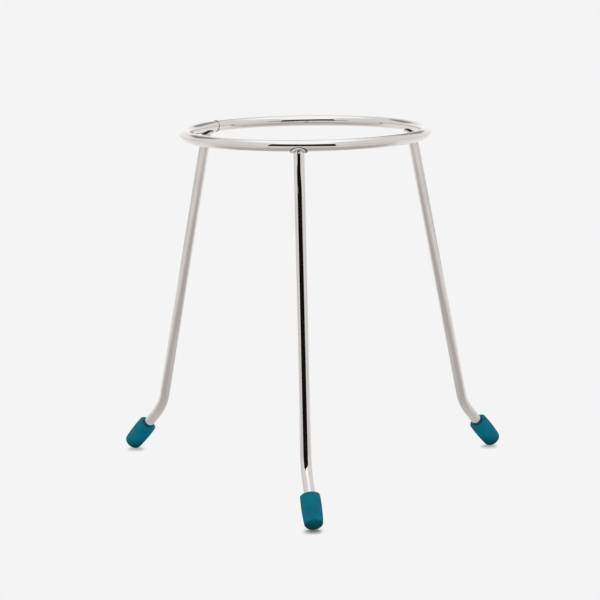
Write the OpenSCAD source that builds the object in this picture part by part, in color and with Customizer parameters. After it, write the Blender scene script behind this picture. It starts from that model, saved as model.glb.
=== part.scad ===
// Lab tripod stand: a wire ring on three splayed wire legs with soft foot caps.
// Millimetres, +Z up. The origin lies on the ring's axis, on the bench that the feet stand on.
// The front leg points to -Y; the two rear legs follow at thirds of a turn.

/* [Stand] */
// Height from the bench to the top of the ring
stand_h = 211.7; // [140:0.1:320]
// Outside diameter of the ring
ring_od = 150; // [90:0.5:220]
// Diameter of the ring's wire
ring_wire_d = 6.6; // [5:0.1:9]

/* [Legs] */
// Diameter of the legs' wire
leg_wire_d = 6.2; // [4:0.1:8]
// Lean of the straight part of a leg away from upright, in degrees
leg_lean = 12.2; // [4:0.1:20]
// Further outward bend of the foot, in degrees
foot_bend = 30; // [15:0.5:45]
// Centreline radius of that bend
bend_r = 28; // [12:0.5:34]
// Length of the foot from the corner of the bend to the end of its cap
foot_len = 38; // [32:0.5:70]

/* [Set of each leg] */
// Sideways turn of the front leg's lean about the upright, in degrees
front_toe = 5.5; // [-10:0.1:10]
// Turn of the front foot's bend about its leg, in degrees
front_twist = 9.5; // [-12:0.1:12]
// Sideways turn of the rear right leg's lean about the upright, in degrees
rear_right_toe = 4.3; // [-10:0.1:10]
// Turn of the rear right foot's bend about its leg, in degrees
rear_right_twist = 6.4; // [-12:0.1:12]
// Sideways turn of the rear left leg's lean about the upright, in degrees
rear_left_toe = 1.2; // [-10:0.1:10]
// Turn of the rear left foot's bend about its leg, in degrees
rear_left_twist = 0.8; // [-12:0.1:12]

/* [Welds] */
// Section radius of the bead round the top of each leg
bead_r = 1.75; // [0.8:0.05:1.8]
// Height of that bead's centre above the underside of the ring's wire
bead_rise = -0.1; // [-0.3:0.05:1.1]
// How far the bead's centre lies outside the surface of the leg
bead_out = 0.2; // [0:0.05:0.6]
// Bearing of the joint that closes the ring, counted from +X in degrees
seam_bearing = 143.5; // [60:0.5:144]
// Section radius of the bead over that joint
seam_bead_r = 0.9; // [0.5:0.05:1.5]
// Height of that bead above the surface of the wire
seam_bead_h = 0.35; // [0.1:0.05:0.5]
// Clearance under that bead, whose bore is straight where the wire is curved
seam_clearance = 0.01; // [0.01:0.01:0.1]

/* [Foot caps] */
// Length of a cap along its leg
cap_len = 20; // [14:0.5:28]
// Wall of a cap round its bore, at its mouth
cap_mouth_wall = 2.55; // [1.7:0.05:4]
// Wall of a cap where its closed end starts to round over
cap_tip_wall = 2.2; // [1.3:0.05:3.5]
// Swell of a cap's side beyond a straight taper
cap_swell = 0.3; // [0:0.05:0.8]
// Radius of the rounding round the closed end
cap_corner_r = 2.8; // [1:0.1:3.4]
// Crown of the closed end
cap_crown = 0.4; // [0:0.05:0.8]
// Thickness of rubber under the end of the wire
cap_floor_t = 3.5; // [2:0.1:6]
// Radius of the edges round the mouth
cap_lip_r = 0.4; // [0.1:0.05:0.8]
// Radial clearance between the wire and the cap's bore
cap_clearance = 0.05; // [0.02:0.01:0.2]

/* [Hidden] */

$fn = 96;
ring_wire_r = ring_wire_d / 2;
leg_wire_r = leg_wire_d / 2;
// Radius of the ring's centreline, and its height over the bench
ring_r = ring_od / 2 - ring_wire_r;
ring_z = stand_h - ring_wire_r;

// Each leg's bearing, toe and twist, in degrees
FRONT = [-90, front_toe, front_twist];
REAR_RIGHT = [30, rear_right_toe, rear_right_twist];
REAR_LEFT = [150, rear_left_toe, rear_left_twist];

// Depth of a leg's bead below the centreline of the ring's wire
bead_drop = ring_wire_r - bead_rise;

// Distance along either leg of the bend, from its corner to where it is straight again
bend_setback = bend_r * tan(foot_bend / 2);
cap_bore_r = leg_wire_r + cap_clearance;
cap_mouth_r = cap_bore_r + cap_mouth_wall;
cap_tip_r = cap_bore_r + cap_tip_wall;
cap_corner_z = cap_crown + cap_corner_r;
// How far a straight stretch of wire runs into its bend, and how much fatter bending leaves the wire
wire_overlap = 0.4;
bend_swell = 0.01;
// Number of straight steps that each rounded stretch of the cap's outline is drawn in
outline_steps = 12;

wire_colour = "silver";
weld_colour = "gainsboro";
rubber_colour = [0.08, 0.37, 0.43];

// Angle between a foot and the upright, for a leg whose bend is turned by twist
function foot_angle(twist) =
    acos(cos(leg_lean) * cos(foot_bend) - sin(leg_lean) * sin(foot_bend) * cos(twist));

// Height of the end of a cap over the bench when the rounding of that cap rests on it
function cap_end_z(twist) =
    (cap_tip_r - cap_corner_r) * sin(foot_angle(twist))
    - cap_corner_z * cos(foot_angle(twist)) + cap_corner_r;

// Length of a leg from the ring wire's centreline to the corner of its bend
function leg_len(twist) =
    (ring_z - cap_end_z(twist) - foot_len * cos(foot_angle(twist))) / cos(leg_lean);

// Straight lengths on either side of the bend: down the leg, and down the foot to the end of its cap
function leg_straight(twist) = leg_len(twist) - bend_setback;
foot_straight = foot_len - bend_setback;

// Moves its children to the top of a leg: -Z runs down the leg and +X leans outward
module at_leg(leg) {
    rotate([0, 0, leg[0]])
        translate([ring_r, 0, ring_z])
            rotate([0, -leg_lean, leg[1]])
                children();
}

// Moves its children to the lower end of a leg's straight part, turned with the foot's bend
module at_bend(leg) {
    at_leg(leg)
        translate([0, 0, -leg_straight(leg[2])])
            rotate([0, 0, leg[2]])
                children();
}

// Moves its children to the end of a leg's cap: +Z runs back up the foot
module at_foot_end(leg) {
    at_bend(leg)
        translate([bend_r, 0, 0])
            rotate([0, -foot_bend, 0])
                translate([-bend_r, 0, -foot_straight])
                    children();
}

// The ring's wire as one closed hoop
module ring_wire() {
    translate([0, 0, ring_z])
        rotate_extrude()
            translate([ring_r, 0])
                circle(r = ring_wire_r);
}

module ring() {
    color(wire_colour)
        ring_wire();
}

// Thin bead over the joint that closes the ring
module ring_seam_weld() {
    color(weld_colour)
        rotate([0, 0, seam_bearing])
            translate([ring_r, 0, ring_z])
                rotate([90, 0, 0])
                    rotate_extrude()
                        difference() {
                            translate([ring_wire_r + seam_bead_h - seam_bead_r, 0])
                                circle(r = seam_bead_r);
                            translate([0, -seam_bead_r])
                                square([ring_wire_r + seam_clearance, 2 * seam_bead_r]);
                        }
}

// One leg of bent wire, its top cut to the round of the ring
module leg_wire(leg) {
    color(wire_colour)
        difference() {
            union() {
                at_leg(leg)
                    translate([0, 0, -leg_straight(leg[2]) - wire_overlap])
                        cylinder(r = leg_wire_r, h = leg_straight(leg[2]) + wire_overlap);
                at_bend(leg)
                    translate([bend_r, 0, 0])
                        rotate([90, 0, 0])
                            rotate([0, 0, 180])
                                rotate_extrude(angle = foot_bend)
                                    translate([bend_r, 0])
                                        circle(r = leg_wire_r + bend_swell);
                at_foot_end(leg)
                    translate([0, 0, cap_floor_t])
                        cylinder(r = leg_wire_r, h = foot_straight - cap_floor_t + wire_overlap);
            }
            ring_wire();
        }
}

module leg_front() {
    leg_wire(FRONT);
}

module leg_rear_right() {
    leg_wire(REAR_RIGHT);
}

module leg_rear_left() {
    leg_wire(REAR_LEFT);
}

// Bead of weld in the crook between a leg and the ring
module leg_weld(leg) {
    color(weld_colour)
        difference() {
            at_leg(leg)
                translate([0, 0, -bead_drop])
                    rotate_extrude()
                        difference() {
                            translate([leg_wire_r + bead_out, 0])
                                circle(r = bead_r);
                            translate([0, -bead_r])
                                square([leg_wire_r, 2 * bead_r]);
                        }
            ring_wire();
        }
}

module leg_weld_front() {
    leg_weld(FRONT);
}

module leg_weld_rear_right() {
    leg_weld(REAR_RIGHT);
}

module leg_weld_rear_left() {
    leg_weld(REAR_LEFT);
}

// A point on a round of radius r about [x, z], at an angle in degrees
function on_round(x, z, r, angle) = [x + r * cos(angle), z + r * sin(angle)];

// Half outline of a cap, from the middle of its closed end round to its bore
function cap_outline() =
    let (
        crown_r = cap_tip_r - cap_corner_r,
        lip_z = cap_len - cap_lip_r,
        side_h = lip_z - cap_corner_z
    )
    concat(
        [for (i = [0 : outline_steps / 2]) let (t = 2 * i / outline_steps)
            [crown_r * t, cap_crown * t * t]],
        [for (i = [1 : outline_steps])
            on_round(crown_r, cap_corner_z, cap_corner_r, -90 + 90 * i / outline_steps)],
        [for (i = [1 : outline_steps - 1]) let (t = i / outline_steps)
            [cap_tip_r + (cap_mouth_r - cap_tip_r) * t + 4 * cap_swell * t * (1 - t),
             cap_corner_z + side_h * t]],
        [for (i = [0 : outline_steps / 2])
            on_round(cap_mouth_r - cap_lip_r, lip_z, cap_lip_r, 180 * i / outline_steps)],
        [for (i = [0 : outline_steps / 2])
            on_round(cap_bore_r + cap_lip_r, lip_z, cap_lip_r, 90 + 180 * i / outline_steps)],
        [[cap_bore_r, cap_floor_t], [0, cap_floor_t]]
    );

// Soft cap with a blind bore that the wire stands in
module foot_cap(leg) {
    color(rubber_colour)
        at_foot_end(leg)
            rotate_extrude()
                polygon(cap_outline());
}

module foot_cap_front() {
    foot_cap(FRONT);
}

module foot_cap_rear_right() {
    foot_cap(REAR_RIGHT);
}

module foot_cap_rear_left() {
    foot_cap(REAR_LEFT);
}

ring();
ring_seam_weld();
leg_front();
leg_rear_right();
leg_rear_left();
leg_weld_front();
leg_weld_rear_right();
leg_weld_rear_left();
foot_cap_front();
foot_cap_rear_right();
foot_cap_rear_left();
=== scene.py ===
"""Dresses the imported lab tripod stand: bright wire, weld beads, soft foot caps, in a pale studio.

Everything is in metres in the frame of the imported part. The z axis runs up along the ring's axis
and the stand rests on z = 0, with its front leg towards -Y.
"""

import logging
import math
from dataclasses import dataclass
from enum import Enum
from typing import Any

import bmesh
import bpy
from mathutils import Matrix, Vector, noise


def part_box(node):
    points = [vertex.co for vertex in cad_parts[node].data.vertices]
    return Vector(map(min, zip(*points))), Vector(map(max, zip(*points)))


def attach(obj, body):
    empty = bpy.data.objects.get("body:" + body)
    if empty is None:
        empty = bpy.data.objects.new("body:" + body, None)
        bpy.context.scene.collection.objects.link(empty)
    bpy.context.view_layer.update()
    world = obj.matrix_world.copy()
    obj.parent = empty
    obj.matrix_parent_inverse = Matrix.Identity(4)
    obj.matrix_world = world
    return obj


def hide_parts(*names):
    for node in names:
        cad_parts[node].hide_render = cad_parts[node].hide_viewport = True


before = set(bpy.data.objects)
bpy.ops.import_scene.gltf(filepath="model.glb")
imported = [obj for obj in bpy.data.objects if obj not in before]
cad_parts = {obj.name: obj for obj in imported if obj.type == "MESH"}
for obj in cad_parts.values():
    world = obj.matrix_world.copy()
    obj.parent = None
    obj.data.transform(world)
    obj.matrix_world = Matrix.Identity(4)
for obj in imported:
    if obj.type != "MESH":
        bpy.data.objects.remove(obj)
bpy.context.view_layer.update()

LOG = logging.getLogger("tripod_stand")
BODY = "root"
FULL_TURN = 2 * math.pi
# Range of a mask
SHARE = (0.0, 1.0)
# Sockets of a Mix node that is set to colours
COLOUR_A, COLOUR_B, COLOUR_OUT = 6, 7, 2
# Points closer than this are one point
MERGE_GAP = 1e-7
# How closely a point has to lie at a height or radius to be found there
FIND_GAP = 1e-5
# Value that each point of a cap keeps: its height over the cap's closed end, in metres
UP_THE_CAP = "up_the_cap"


class Slot(Enum):
    """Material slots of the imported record."""

    WIRE = "bright_wire"
    WELD = "bright_weld"
    RUBBER = "cap_rubber"


class Place(Enum):
    """The three places round the ring where a leg stands."""

    FRONT = "front"
    REAR_RIGHT = "rear_right"
    REAR_LEFT = "rear_left"


def turned(angle: float, axis: str) -> Matrix:
    """Returns a turn of angle degrees about the named axis."""
    return Matrix.Rotation(math.radians(angle), 4, axis)


def moved(x: float, y: float, z: float) -> Matrix:
    """Returns a move by x, y and z in metres."""
    return Matrix.Translation((x, y, z))


@dataclass(frozen=True)
class StandSizes:
    """Sizes that the pieces share, in metres and degrees.

    Args:
        ring_r: radius of the ring's centreline.
        ring_z: height of that centreline over the bench.
        ring_wire_r: radius of the ring's wire.
        leg_wire_r: radius of the legs' wire.
        leg_lean: lean of a leg away from upright.
        foot_bend: further outward bend of a foot.
        bend_r: centreline radius of that bend.
        foot_len: length from the corner of the bend to the end of the cap.
    """

    ring_r: float
    ring_z: float
    ring_wire_r: float
    leg_wire_r: float = 0.0031
    leg_lean: float = 12.2
    foot_bend: float = 30.0
    bend_r: float = 0.028
    foot_len: float = 0.038

    @classmethod
    def from_frame(cls) -> "StandSizes":
        """Reads the ring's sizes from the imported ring.

        Returns:
            The sizes, with those of the legs as named above.
        """
        low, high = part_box("ring")
        wire_r = (high.z - low.z) / 2
        return cls(ring_r=(high.x - low.x) / 2 - wire_r, ring_z=high.z - wire_r, ring_wire_r=wire_r)

    @property
    def bend_setback(self) -> float:
        """Distance of the bend's ends from its corner."""
        return self.bend_r * math.tan(math.radians(self.foot_bend / 2))

    @property
    def foot_straight(self) -> float:
        """Straight length from the bend to the end of the cap."""
        return self.foot_len - self.bend_setback


@dataclass(frozen=True)
class CapSizes:
    """Sizes of one foot cap, in metres, from its closed end at z = 0 up to its mouth.

    Args:
        length: its whole length.
        mouth_r: outside radius at its mouth.
        tip_r: outside radius where its closed end starts to round over.
        swell: swell of its side beyond a straight taper.
        corner_r: radius of the rounding round its closed end.
        crown: how far the middle of its closed end stands out.
        floor_t: height of the floor of its bore.
        lip_r: radius of the edges round its mouth.
        bore_r: radius of its bore.
    """

    length: float = 0.020
    mouth_r: float = 0.0057
    tip_r: float = 0.00535
    swell: float = 0.0003
    corner_r: float = 0.0028
    crown: float = 0.0004
    floor_t: float = 0.0035
    lip_r: float = 0.0004
    bore_r: float = 0.00315

    @property
    def corner_z(self) -> float:
        """Height at which the rounding meets the side."""
        return self.crown + self.corner_r

    @property
    def flat_r(self) -> float:
        """Radius of the closed end inside its rounding."""
        return self.tip_r - self.corner_r


@dataclass(frozen=True)
class LegSet:
    """How one leg stands: its bearing round the ring, and the small set left by hand bending.

    Args:
        place: which leg this is.
        bearing: bearing of the leg's top from +X, in degrees.
        toe: sideways turn of its lean about the upright, in degrees.
        twist: turn of its foot's bend about the leg, in degrees.
    """

    place: Place
    bearing: float
    toe: float
    twist: float

    def top(self, sizes: StandSizes) -> Matrix:
        """Returns the place of the leg's top: -Z runs down the leg, +X leans outward."""
        return (turned(self.bearing, "Z") @ moved(sizes.ring_r, 0, sizes.ring_z)
                @ turned(self.toe, "Z") @ turned(-sizes.leg_lean, "Y"))

    def foot_angle(self, sizes: StandSizes) -> float:
        """Works out how far the foot leans.

        Args:
            sizes: the stand's sizes.

        Returns:
            The angle between the foot and the upright, in radians.
        """
        lean, bend = math.radians(sizes.leg_lean), math.radians(sizes.foot_bend)
        return math.acos(math.cos(lean) * math.cos(bend)
                         - math.sin(lean) * math.sin(bend) * math.cos(math.radians(self.twist)))

    def straight(self, sizes: StandSizes, cap: CapSizes) -> float:
        """Works out how long the leg is above its bend.

        Args:
            sizes: the stand's sizes.
            cap: the cap that the foot ends in.

        Returns:
            The straight length from the ring's centreline to the start of the bend.
        """
        angle = self.foot_angle(sizes)
        end_z = cap.flat_r * math.sin(angle) - cap.corner_z * math.cos(angle) + cap.corner_r
        drop = sizes.ring_z - end_z - sizes.foot_len * math.cos(angle)
        return drop / math.cos(math.radians(sizes.leg_lean)) - sizes.bend_setback

    def bend(self, sizes: StandSizes, cap: CapSizes) -> Matrix:
        """Returns the place where the bend starts, turned with the bend."""
        return self.top(sizes) @ moved(0, 0, -self.straight(sizes, cap)) @ turned(self.twist, "Z")

    def foot_end(self, sizes: StandSizes, cap: CapSizes) -> Matrix:
        """Returns the place of the cap's closed end: +Z runs back up the foot."""
        return (self.bend(sizes, cap) @ moved(sizes.bend_r, 0, 0) @ turned(-sizes.foot_bend, "Y")
                @ moved(-sizes.bend_r, 0, -sizes.foot_straight))

    def rest(self, sizes: StandSizes, cap: CapSizes) -> Vector:
        """Works out where the cap touches the bench.

        Args:
            sizes: the stand's sizes.
            cap: the cap.

        Returns:
            The point of contact.
        """
        end = self.foot_end(sizes, cap)
        up = end.to_3x3() @ Vector((0, 0, 1))
        down = (up.z * up - Vector((0, 0, 1))).normalized()
        point = end @ Vector((0, 0, cap.corner_z))
        return point + cap.flat_r * down - Vector((0, 0, cap.corner_r))


LEG_SETS = (
    LegSet(Place.FRONT, bearing=-90.0, toe=5.5, twist=9.5),
    LegSet(Place.REAR_RIGHT, bearing=30.0, toe=4.3, twist=6.4),
    LegSet(Place.REAR_LEFT, bearing=150.0, toe=1.2, twist=0.8),
)


def edges_of(verts: list[bmesh.types.BMVert]) -> list[bmesh.types.BMEdge]:
    """Returns each edge that meets one of the points, once."""
    return list(dict.fromkeys(edge for vert in verts for edge in vert.link_edges))


def verts_of(edges: list[bmesh.types.BMEdge]) -> list[bmesh.types.BMVert]:
    """Returns each point that one of the edges ends in, once."""
    return list(dict.fromkeys(vert for edge in edges for vert in edge.verts))


def extruded(bm: bmesh.types.BMesh, edges: list[bmesh.types.BMEdge]
             ) -> tuple[list[bmesh.types.BMVert], list[bmesh.types.BMEdge]]:
    """Extrudes an open end in place, ready to be moved on.

    Args:
        bm: the shape.
        edges: its open end.

    Returns:
        The points and the edges of the new open end.
    """
    drawn = bmesh.ops.extrude_edge_only(bm, edges=edges)["geom"]
    verts = [part for part in drawn if isinstance(part, bmesh.types.BMVert)]
    rim = [part for part in drawn if isinstance(part, bmesh.types.BMEdge)
           and all(vert in verts for vert in part.verts)]
    return verts, rim


def spin_hoop(bm: bmesh.types.BMesh, reach: float, rise: float, radius: float, section: int,
              around: int) -> None:
    """Spins a round section about the Z axis into a closed hoop.

    Args:
        bm: the mesh that it is added to.
        reach: radius of the hoop's centreline.
        rise: height of that centreline.
        radius: radius of the section.
        section: faces round the section.
        around: faces round the hoop.
    """
    made = bmesh.ops.create_circle(bm, segments=section, radius=radius,
                                   matrix=moved(reach, 0, rise) @ turned(90, "X"))
    bmesh.ops.spin(bm, geom=made["verts"] + edges_of(made["verts"]), cent=(0, 0, 0),
                   axis=(0, 0, 1), angle=FULL_TURN, steps=around, use_merge=True)


def roughen(bm: bmesh.types.BMesh, depth: float, scale: float) -> None:
    """Leaves a bead a little uneven, as a weld is.

    Args:
        bm: the bead.
        depth: how far a point moves at most, in metres.
        scale: ripples per metre.
    """
    bm.normal_update()
    for vert in bm.verts:
        vert.co += vert.normal * depth * noise.noise(vert.co * scale)


class PieceBench:
    """Turns a finished bmesh into a piece that rides on the part."""

    sharp_angle: float = math.radians(40)

    @classmethod
    def make(cls, bm: bmesh.types.BMesh, name: str, node: str, slot: Slot,
             finish: bpy.types.Material) -> bpy.types.Object:
        """Closes, names and dresses a piece, and lets it stand for its CAD node.

        Args:
            bm: the shape, already in place. It is freed.
            name: the piece's name.
            node: the CAD node that it stands for.
            slot: the record's slot that its finish comes from; not used.
            finish: the material to wear.

        Returns:
            The new object.
        """
        bmesh.ops.remove_doubles(bm, verts=bm.verts, dist=MERGE_GAP)
        bmesh.ops.recalc_face_normals(bm, faces=bm.faces)
        mesh = bpy.data.meshes.new(name)
        bm.to_mesh(mesh)
        bm.free()
        mesh.shade_smooth()
        mesh.set_sharp_from_angle(angle=cls.sharp_angle)
        mesh.materials.append(finish)
        piece = bpy.data.objects.new(name, mesh)
        bpy.context.scene.collection.objects.link(piece)
        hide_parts(node)
        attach(piece, BODY)
        LOG.info("%s stands for %s, %d faces", name, node, len(mesh.polygons))
        return piece


class NodeSheet:
    """Lays nodes out in a node tree with short calls."""

    def __init__(self, tree: bpy.types.NodeTree) -> None:
        """Takes the tree to work on.

        Args:
            tree: a material's, world's or group's node tree.
        """
        self.tree = tree

    @classmethod
    def of(cls, owner: bpy.types.Material | bpy.types.World) -> "NodeSheet":
        """Clears a new material or world.

        Args:
            owner: the material or world.

        Returns:
            Its empty sheet.
        """
        owner.use_nodes = True
        owner.node_tree.nodes.clear()
        return cls(owner.node_tree)

    def add(self, kind: str, **settings: Any) -> bpy.types.Node:
        """Adds a node.

        Args:
            kind: the node's Blender type.
            settings: attributes to set on it.

        Returns:
            The new node.
        """
        node = self.tree.nodes.new(kind)
        for name, value in settings.items():
            setattr(node, name, value)
        return node

    def join(self, source: bpy.types.NodeSocket, target: bpy.types.NodeSocket) -> None:
        """Links an output to an input."""
        self.tree.links.new(source, target)

    def feed(self, target: bpy.types.NodeSocket, value: Any) -> None:
        """Gives an input what it works with.

        Args:
            target: the input.
            value: a socket that it reads, a value that it holds, or None to leave it as it is.
        """
        if isinstance(value, bpy.types.NodeSocket):
            self.join(value, target)
        elif value is not None:
            target.default_value = value

    def place(self) -> bpy.types.NodeSocket:
        """Reads where a point of the surface lies, in metres."""
        return self.add("ShaderNodeTexCoord").outputs["Object"]

    def split(self, vector: bpy.types.NodeSocket) -> tuple[bpy.types.NodeSocket, ...]:
        """Takes a vector apart.

        Args:
            vector: the vector.

        Returns:
            Its x, y and z.
        """
        node = self.add("ShaderNodeSeparateXYZ")
        self.join(vector, node.inputs[0])
        return tuple(node.outputs)

    def vector(self, *parts: Any) -> bpy.types.NodeSocket:
        """Puts a vector together.

        Args:
            parts: its x, y and z, each a socket or a number. What isn't given is 0.

        Returns:
            The vector.
        """
        node = self.add("ShaderNodeCombineXYZ")
        for target, part in zip(node.inputs, parts):
            self.feed(target, part)
        return node.outputs[0]

    def vector_maths(self, operation: str, first: Any, second: Any = None) -> bpy.types.Node:
        """Adds a Vector Math node.

        Args:
            operation: the node's operation.
            first: a socket or three numbers.
            second: a socket, three numbers or nothing.

        Returns:
            The node, whose result is a vector or a value.
        """
        node = self.add("ShaderNodeVectorMath", operation=operation)
        for target, value in zip(node.inputs, (first, second)):
            self.feed(target, value)
        return node

    def length(self, vector: bpy.types.NodeSocket) -> bpy.types.NodeSocket:
        """Measures how long a vector is."""
        return self.vector_maths("LENGTH", vector).outputs["Value"]

    def maths(self, operation: str, first: Any, second: Any = None) -> bpy.types.NodeSocket:
        """Adds a Math node.

        Args:
            operation: the Math node's operation.
            first: a socket or a number.
            second: a socket, a number or nothing.

        Returns:
            The node's result.
        """
        node = self.add("ShaderNodeMath", operation=operation)
        for target, value in zip(node.inputs, (first, second)):
            self.feed(target, value)
        return node.outputs[0]

    def span(self, value: bpy.types.NodeSocket, reach: tuple[float, float], to_low: float,
             to_high: float, eased: bool = False) -> bpy.types.NodeSocket:
        """Carries a value from one range to another, held at the ends.

        Args:
            value: the value to carry.
            reach: start and end of its range.
            to_low: what the start becomes.
            to_high: what the end becomes.
            eased: whether it starts and ends softly.

        Returns:
            The carried value.
        """
        node = self.add("ShaderNodeMapRange")
        node.clamp = True
        node.interpolation_type = "SMOOTHSTEP" if eased else "LINEAR"
        self.join(value, node.inputs["Value"])
        for name, number in (("From Min", reach[0]), ("From Max", reach[1]),
                             ("To Min", to_low), ("To Max", to_high)):
            node.inputs[name].default_value = number
        return node.outputs["Result"]

    def blend(self, share: bpy.types.NodeSocket, first: Any, second: Any) -> bpy.types.NodeSocket:
        """Mixes two colours by a share.

        Args:
            share: 0 gives the first, 1 the second.
            first: a socket or a colour.
            second: a socket or a colour.

        Returns:
            The mixed colour.
        """
        node = self.add("ShaderNodeMix", data_type="RGBA")
        self.join(share, node.inputs[0])
        for index, value in ((COLOUR_A, first), (COLOUR_B, second)):
            self.feed(node.inputs[index],
                      value if isinstance(value, bpy.types.NodeSocket) else (*value, 1.0))
        return node.outputs[COLOUR_OUT]

    def either(self, share: bpy.types.NodeSocket, first: bpy.types.NodeSocket,
               second: bpy.types.NodeSocket) -> bpy.types.NodeSocket:
        """Mixes two shaders by a share.

        Args:
            share: 0 gives the first, 1 the second.
            first: a shader.
            second: a shader.

        Returns:
            The mixed shader.
        """
        node = self.add("ShaderNodeMixShader")
        for target, source in zip(node.inputs, (share, first, second)):
            self.join(source, target)
        return node.outputs[0]


@dataclass(frozen=True)
class Pattern:
    """Noise that is cut down to a mask.

    Args:
        scale: repeats per metre.
        detail: octaves of finer noise.
        reach: values of the noise at which the mask starts and is full.
    """

    scale: float
    detail: float
    reach: tuple[float, float]

    def mask(self, sheet: NodeSheet, place: bpy.types.NodeSocket,
             lowest: float = 0.0) -> bpy.types.NodeSocket:
        """Lays out the mask.

        Args:
            sheet: the sheet to lay it out on.
            place: the coordinates to read.
            lowest: what the mask is where it hasn't started.

        Returns:
            The mask, 1 where it is full.
        """
        node = sheet.add("ShaderNodeTexNoise")
        sheet.join(place, node.inputs["Vector"])
        node.inputs["Scale"].default_value = self.scale
        node.inputs["Detail"].default_value = self.detail
        return sheet.span(node.outputs["Fac"], self.reach, lowest, 1.0)


class SurfaceWear:
    """Shader node group of faint haze, drawn lines and pits, used by every finish."""

    name: str = "surface_wear"
    haze: Pattern = Pattern(scale=55.0, detail=4.0, reach=(0.35, 0.7))
    lines: Pattern = Pattern(scale=2600.0, detail=2.0, reach=(0.3, 0.7))
    pits: Pattern = Pattern(scale=900.0, detail=1.0, reach=(0.62, 0.75))

    @classmethod
    def group(cls) -> bpy.types.NodeTree:
        """Returns the group, built the first time.

        Returns:
            A group that takes Vector, Stretch and Scale, and gives Haze, Lines and Pits.
        """
        made = bpy.data.node_groups.get(cls.name)
        if made is not None:
            return made
        made = bpy.data.node_groups.new(cls.name, "ShaderNodeTree")
        made.interface.new_socket("Vector", in_out="INPUT", socket_type="NodeSocketVector")
        for name, value in (("Stretch", 0.02), ("Scale", 1.0)):
            made.interface.new_socket(name, in_out="INPUT",
                                      socket_type="NodeSocketFloat").default_value = value
        for name in ("Haze", "Lines", "Pits"):
            made.interface.new_socket(name, in_out="OUTPUT", socket_type="NodeSocketFloat")
        sheet = NodeSheet(made)
        taken = sheet.add("NodeGroupInput")
        given = sheet.add("NodeGroupOutput")
        sized = sheet.vector_maths("SCALE", taken.outputs["Vector"])
        sheet.join(taken.outputs["Scale"], sized.inputs["Scale"])
        x, y, z = sheet.split(sized.outputs[0])
        drawn = sheet.vector(x, y, sheet.maths("MULTIPLY", z, taken.outputs["Stretch"]))
        for name, pattern, place in (("Haze", cls.haze, sized.outputs[0]),
                                     ("Lines", cls.lines, drawn),
                                     ("Pits", cls.pits, sized.outputs[0])):
            sheet.join(pattern.mask(sheet, place), given.inputs[name])
        return made

    @classmethod
    def place(cls, sheet: NodeSheet, vector: bpy.types.NodeSocket, stretch: float,
              scale: float) -> bpy.types.Node:
        """Puts the group into a material.

        Args:
            sheet: the material's sheet.
            vector: coordinates whose Z runs along the drawn lines.
            stretch: width of those lines over their length.
            scale: how many times finer the whole pattern is.

        Returns:
            The group node.
        """
        node = sheet.add("ShaderNodeGroup")
        node.node_tree = cls.group()
        sheet.join(vector, node.inputs["Vector"])
        node.inputs["Stretch"].default_value = stretch
        node.inputs["Scale"].default_value = scale
        return node


class Finish:
    """What the part's finishes share: a Principled surface to start from, and a bump on it."""

    @staticmethod
    def start(name: str) -> tuple[bpy.types.Material, NodeSheet, bpy.types.Node]:
        """Opens a material.

        Args:
            name: the material's name.

        Returns:
            The material, its sheet and its Principled node.
        """
        material = bpy.data.materials.new(name)
        sheet = NodeSheet.of(material)
        surface = sheet.add("ShaderNodeBsdfPrincipled")
        out = sheet.add("ShaderNodeOutputMaterial")
        sheet.join(surface.outputs[0], out.inputs["Surface"])
        return material, sheet, surface

    @staticmethod
    def bump(sheet: NodeSheet, surface: bpy.types.Node, height: bpy.types.NodeSocket,
             strength: float, depth: float) -> None:
        """Lets a height pattern disturb the surface.

        Args:
            sheet: the material's sheet.
            surface: its Principled node.
            height: the pattern.
            strength: how strongly it shows.
            depth: how deep it is, in metres.
        """
        node = sheet.add("ShaderNodeBump")
        node.inputs["Strength"].default_value = strength
        node.inputs["Distance"].default_value = depth
        sheet.join(height, node.inputs["Height"])
        sheet.join(node.outputs["Normal"], surface.inputs["Normal"])


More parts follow.
